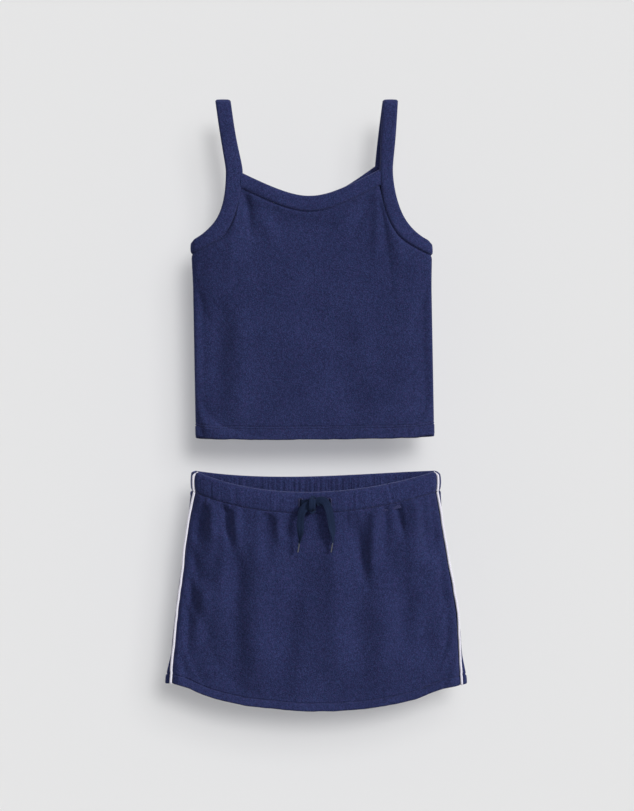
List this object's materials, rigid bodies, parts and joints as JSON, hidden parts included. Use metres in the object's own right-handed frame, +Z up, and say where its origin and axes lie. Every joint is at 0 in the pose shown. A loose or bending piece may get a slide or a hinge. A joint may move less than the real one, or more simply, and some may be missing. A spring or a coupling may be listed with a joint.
{
  "type": "cheer uniform",
  "caption": "Terry cloth uniform: a camisole top with banded neck and straps, and an A-line skirt with a drawstring waist, white side piping and a turned hem.",
  "frame": {"origin": "middle of the fold of the two straps, where they lie over the shoulders", "axes": "+Z up, +X towards the wearer's left, -Y towards the front"},
  "size_m": [0.4164, 0.0518, 0.854],
  "materials": {
    "terry": "napped terry",
    "band_terry": "napped terry",
    "white_piping": "smooth woven",
    "filler_cord": "soft cotton",
    "elastic": "woven elastic",
    "overlock": "thread",
    "drawstring_tape": "flat woven tape",
    "aglet_metal": "satin"
  },
  "bodies": {
    "straps": {"left_strap": "band_terry", "right_strap": "band_terry"},
    "top_body": {"back_neck_band": "band_terry", "front_neck_band": "band_terry", "left_back_armhole_band": "band_terry", "left_front_armhole_band": "band_terry", "left_side_seam": "overlock", "right_back_armhole_band": "band_terry", "right_front_armhole_band": "band_terry", "right_side_seam": "overlock", "top_back_hem": "terry", "top_back_panel": "terry", "top_front_hem": "terry", "top_front_panel": "terry"},
    "skirt": {"back_waistband": "band_terry", "drawstring_channel_run": "drawstring_tape", "drawstring_knot": "drawstring_tape", "front_waistband": "band_terry", "left_buttonhole": "overlock", "left_drawstring_lead": "drawstring_tape", "left_skirt_piping": "white_piping", "left_skirt_piping_cord": "filler_cord", "left_skirt_seam_allowance": "overlock", "left_waistband_piping": "white_piping", "left_waistband_piping_cord": "filler_cord", "right_buttonhole": "overlock", "right_drawstring_lead": "drawstring_tape", "right_skirt_piping": "white_piping", "right_skirt_piping_cord": "filler_cord", "right_skirt_seam_allowance": "overlock", "right_waistband_piping": "white_piping", "right_waistband_piping_cord": "filler_cord", "skirt_back_hem": "terry", "skirt_back_panel": "terry", "skirt_front_hem": "terry", "skirt_front_panel": "terry", "waist_elastic": "elastic", "waist_seam_allowance": "overlock"},
    "left_tail": {"left_drawstring_tail": "drawstring_tape", "left_aglet": "aglet_metal"},
    "right_tail": {"right_drawstring_tail": "drawstring_tape", "right_aglet": "aglet_metal"}
  },
  "joints": [
    {"name": "top_swing", "type": "hinge", "parent": "straps", "child": "top_body", "pos_m": [0, 0.0035, -0.1003], "axis": [1, 0, 0], "range_deg": [-25, 25]},
    {"name": "skirt_slide", "type": "slide", "parent": "straps", "child": "skirt", "axis": [0, 0, -1], "range_m": [0, 0.35]},
    {"name": "left_tail_swing", "type": "hinge", "parent": "skirt", "child": "left_tail", "pos_m": [0.0205, -0.036, -0.568], "axis": [0, 1, 0], "range_deg": [-70, 15]},
    {"name": "right_tail_swing", "type": "hinge", "parent": "skirt", "child": "right_tail", "pos_m": [-0.0205, -0.038, -0.568], "axis": [0, 1, 0], "range_deg": [-15, 70]}
  ]
}
